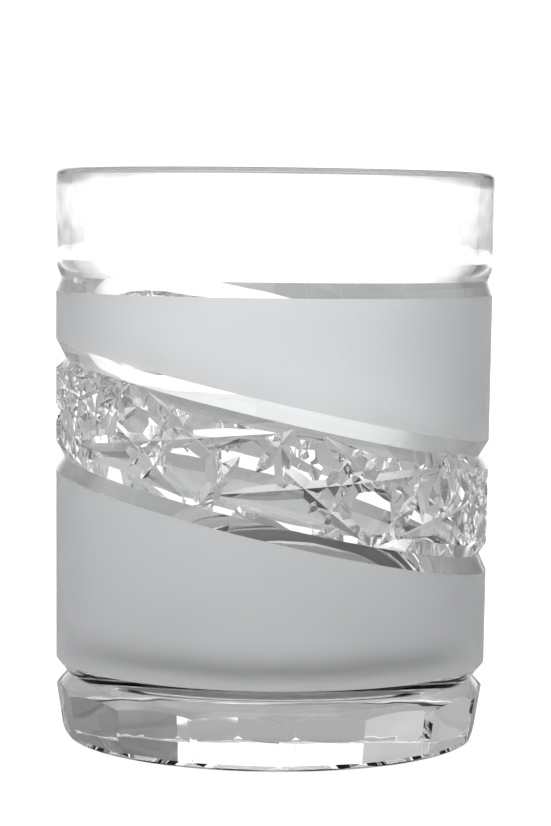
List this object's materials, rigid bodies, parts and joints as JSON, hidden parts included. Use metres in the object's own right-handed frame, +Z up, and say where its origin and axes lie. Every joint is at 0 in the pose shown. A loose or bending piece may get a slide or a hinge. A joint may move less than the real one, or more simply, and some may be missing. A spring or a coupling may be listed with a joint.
{
  "type": "whiskey tumbler",
  "caption": "Straight-sided cut-crystal whiskey tumbler with a clear rim, satin walls, a tilted jewel-cut band and a thick panelled base.",
  "frame": {"origin": "centre of the base ring, on the plane the tumbler stands on", "axes": "+Z up along the glass axis, -Y towards the front of the band, where it falls from left (-X) to right (+X)"},
  "size_m": [0.082, 0.082, 0.106],
  "materials": {
    "polished_crystal": "fire-polished clear",
    "satin_crystal": "satin-etched outside, clear inside",
    "cut_crystal": "wheel-cut and polished",
    "base_crystal": "cut and polished"
  },
  "bodies": {
    "root": {"drinking_rim": "polished_crystal", "upper_frosted_wall": "satin_crystal", "jewel_cut_band": "cut_crystal", "lower_frosted_wall": "satin_crystal", "faceted_base": "base_crystal"}
  },
  "joints": []
}
